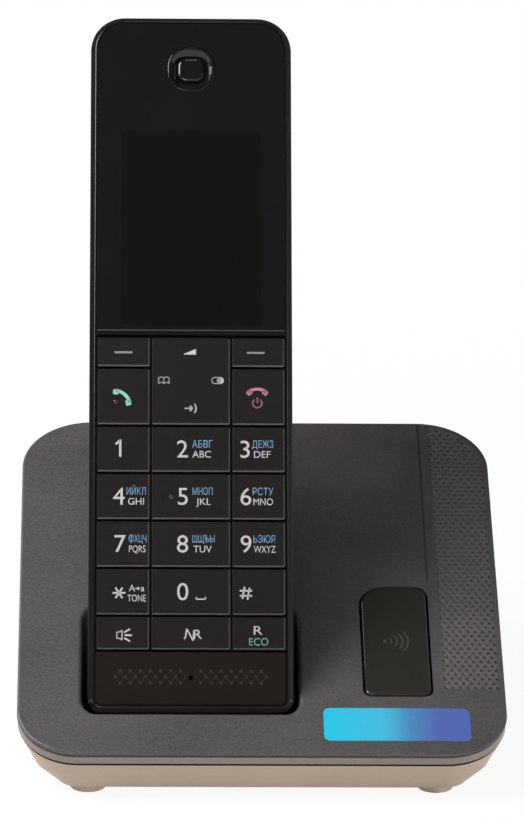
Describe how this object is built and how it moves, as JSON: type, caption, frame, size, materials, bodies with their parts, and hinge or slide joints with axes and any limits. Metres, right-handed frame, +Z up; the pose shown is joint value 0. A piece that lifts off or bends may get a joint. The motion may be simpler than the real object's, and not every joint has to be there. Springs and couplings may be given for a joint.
{
  "type": "cordless phone with base",
  "caption": "Slim cordless handset with keypad and glossy display lens, leaning in a sloped desk base with charging pocket and locator button.",
  "frame": {"origin": "on the desk, under the middle of the object's bounding box with the handset in its pocket", "axes": "+Z up from the desk, +Y from the front of the base to its back, +X to the right of a user facing the keypad"},
  "size_m": [0.114, 0.1186, 0.1607],
  "materials": {
    "deck_plastic": "fine grain",
    "champagne": "satin",
    "rubber": "matte",
    "mat_rubber": "matte",
    "screw_steel": "zinc plated",
    "circuit_board": "solder mask",
    "tinned_steel": "tinned",
    "jack_plastic": "moulded",
    "button_gloss": "polished",
    "contact_metal": "plated",
    "case_gloss": "polished",
    "back_plastic": "fine grain",
    "lens_gloss": "polished",
    "ring_gloss": "polished",
    "panel_plastic": "satin",
    "nav_plastic": "moulded",
    "key_plastic": "satin",
    "display_glass": "polished",
    "speaker_black": "moulded",
    "cell_wrap": "shrink wrap"
  },
  "bodies": {
    "base": {"base_top_cover": "deck_plastic", "base_trim_band": "champagne", "base_lower_housing": "champagne", "rubber_feet": "rubber", "dc_power_jack": "jack_plastic", "line_jack": "jack_plastic", "base_screws": "screw_steel", "base_circuit_board": "circuit_board", "base_shield": "tinned_steel", "base_antennas": "tinned_steel", "locator_board": "circuit_board", "locator_switch": "jack_plastic"},
    "handset": {"handset_front_case": "case_gloss", "handset_back_case": "back_plastic", "display_lens": "lens_gloss", "earpiece_ring": "ring_gloss", "earpiece_grille": "ring_gloss", "microphone_panel": "panel_plastic", "keypad_mat": "mat_rubber", "handset_board": "circuit_board", "handset_shield": "tinned_steel", "display_module": "display_glass", "earpiece_speaker": "speaker_black", "microphone": "speaker_black", "battery_cells": "cell_wrap", "battery_contacts": "contact_metal", "loudspeaker": "speaker_black", "handset_screws": "screw_steel", "handset_antenna": "tinned_steel", "charge_terminals": "contact_metal"},
    "locator_button": {"locator_button": "button_gloss"},
    "charge_contact_left": {"charge_contact_left": "contact_metal"},
    "charge_contact_right": {"charge_contact_right": "contact_metal"},
    "battery_cover": {"battery_cover": "back_plastic"},
    "nav_rocker": {"nav_rocker": "nav_plastic"},
    "nav_pad": {"nav_pad": "key_plastic"},
    "key_speaker": {"key_speaker": "key_plastic"},
    "key_message": {"key_message": "key_plastic"},
    "key_recall": {"key_recall": "key_plastic"},
    "key_star": {"key_star": "key_plastic"},
    "key_0": {"key_0": "key_plastic"},
    "key_hash": {"key_hash": "key_plastic"},
    "key_7": {"key_7": "key_plastic"},
    "key_8": {"key_8": "key_plastic"},
    "key_9": {"key_9": "key_plastic"},
    "key_4": {"key_4": "key_plastic"},
    "key_5": {"key_5": "key_plastic"},
    "key_6": {"key_6": "key_plastic"},
    "key_1": {"key_1": "key_plastic"},
    "key_2": {"key_2": "key_plastic"},
    "key_3": {"key_3": "key_plastic"},
    "key_talk": {"key_talk": "key_plastic"},
    "key_off": {"key_off": "key_plastic"},
    "key_soft_left": {"key_soft_left": "key_plastic"},
    "key_soft_right": {"key_soft_right": "key_plastic"}
  },
  "joints": [
    {"name": "handset_lift", "type": "slide", "parent": "base", "child": "handset", "axis": [0, 0.5255, 0.8508], "range_m": [0, 0.08]},
    {"name": "battery_cover_lift", "type": "slide", "parent": "handset", "child": "battery_cover", "axis": [0, 0.8508, -0.5255], "range_m": [0, 0.015]},
    {"name": "locator_button_press", "type": "slide", "parent": "base", "child": "locator_button", "axis": [0, 0.3746, -0.9272], "range_m": [0, 0.001], "stiffness_N_per_m": 500, "springref_m": -0.0008},
    {"name": "charge_contact_left_press", "type": "slide", "parent": "base", "child": "charge_contact_left", "axis": [0, -0.5255, -0.8508], "range_m": [0, 0.0008], "stiffness_N_per_m": 400, "springref_m": -0.0005},
    {"name": "charge_contact_right_press", "type": "slide", "parent": "base", "child": "charge_contact_right", "axis": [0, -0.5255, -0.8508], "range_m": [0, 0.0008], "stiffness_N_per_m": 400, "springref_m": -0.0005},
    {"name": "key_speaker_press", "type": "slide", "parent": "handset", "child": "key_speaker", "axis": [0, 0.8508, -0.5255], "range_m": [0, 0.0005], "stiffness_N_per_m": 600, "springref_m": -0.0005},
    {"name": "key_message_press", "type": "slide", "parent": "handset", "child": "key_message", "axis": [0, 0.8508, -0.5255], "range_m": [0, 0.0005], "stiffness_N_per_m": 600, "springref_m": -0.0005},
    {"name": "key_recall_press", "type": "slide", "parent": "handset", "child": "key_recall", "axis": [0, 0.8508, -0.5255], "range_m": [0, 0.0005], "stiffness_N_per_m": 600, "springref_m": -0.0005},
    {"name": "key_star_press", "type": "slide", "parent": "handset", "child": "key_star", "axis": [0, 0.8508, -0.5255], "range_m": [0, 0.0005], "stiffness_N_per_m": 600, "springref_m": -0.0005},
    {"name": "key_0_press", "type": "slide", "parent": "handset", "child": "key_0", "axis": [0, 0.8508, -0.5255], "range_m": [0, 0.0005], "stiffness_N_per_m": 600, "springref_m": -0.0005},
    {"name": "key_hash_press", "type": "slide", "parent": "handset", "child": "key_hash", "axis": [0, 0.8508, -0.5255], "range_m": [0, 0.0005], "stiffness_N_per_m": 600, "springref_m": -0.0005},
    {"name": "key_7_press", "type": "slide", "parent": "handset", "child": "key_7", "axis": [0, 0.8508, -0.5255], "range_m": [0, 0.0005], "stiffness_N_per_m": 600, "springref_m": -0.0005},
    {"name": "key_8_press", "type": "slide", "parent": "handset", "child": "key_8", "axis": [0, 0.8508, -0.5255], "range_m": [0, 0.0005], "stiffness_N_per_m": 600, "springref_m": -0.0005},
    {"name": "key_9_press", "type": "slide", "parent": "handset", "child": "key_9", "axis": [0, 0.8508, -0.5255], "range_m": [0, 0.0005], "stiffness_N_per_m": 600, "springref_m": -0.0005},
    {"name": "key_4_press", "type": "slide", "parent": "handset", "child": "key_4", "axis": [0, 0.8508, -0.5255], "range_m": [0, 0.0005], "stiffness_N_per_m": 600, "springref_m": -0.0005},
    {"name": "key_5_press", "type": "slide", "parent": "handset", "child": "key_5", "axis": [0, 0.8508, -0.5255], "range_m": [0, 0.0005], "stiffness_N_per_m": 600, "springref_m": -0.0005},
    {"name": "key_6_press", "type": "slide", "parent": "handset", "child": "key_6", "axis": [0, 0.8508, -0.5255], "range_m": [0, 0.0005], "stiffness_N_per_m": 600, "springref_m": -0.0005},
    {"name": "key_1_press", "type": "slide", "parent": "handset", "child": "key_1", "axis": [0, 0.8508, -0.5255], "range_m": [0, 0.0005], "stiffness_N_per_m": 600, "springref_m": -0.0005},
    {"name": "key_2_press", "type": "slide", "parent": "handset", "child": "key_2", "axis": [0, 0.8508, -0.5255], "range_m": [0, 0.0005], "stiffness_N_per_m": 600, "springref_m": -0.0005},
    {"name": "key_3_press", "type": "slide", "parent": "handset", "child": "key_3", "axis": [0, 0.8508, -0.5255], "range_m": [0, 0.0005], "stiffness_N_per_m": 600, "springref_m": -0.0005},
    {"name": "key_talk_press", "type": "slide", "parent": "handset", "child": "key_talk", "axis": [0, 0.8508, -0.5255], "range_m": [0, 0.0005], "stiffness_N_per_m": 600, "springref_m": -0.0005},
    {"name": "key_off_press", "type": "slide", "parent": "handset", "child": "key_off", "axis": [0, 0.8508, -0.5255], "range_m": [0, 0.0005], "stiffness_N_per_m": 600, "springref_m": -0.0005},
    {"name": "key_soft_left_press", "type": "slide", "parent": "handset", "child": "key_soft_left", "axis": [0, 0.8508, -0.5255], "range_m": [0, 0.0005], "stiffness_N_per_m": 600, "springref_m": -0.0005},
    {"name": "key_soft_right_press", "type": "slide", "parent": "handset", "child": "key_soft_right", "axis": [0, 0.8508, -0.5255], "range_m": [0, 0.0005], "stiffness_N_per_m": 600, "springref_m": -0.0005},
    {"name": "nav_rocker_tilt", "type": "hinge", "parent": "handset", "child": "nav_rocker", "pos_m": [-0.0166, -0.0011, 0.08307], "axis": [1, 0, 0], "range_deg": [-2, 2], "stiffness_Nm_per_rad": 0.05},
    {"name": "nav_pad_tilt", "type": "hinge", "parent": "nav_rocker", "child": "nav_pad", "pos_m": [-0.0166, -0.00199, 0.08362], "axis": [0, 0.5255, 0.8508], "range_deg": [-2, 2], "stiffness_Nm_per_rad": 0.05}
  ]
}
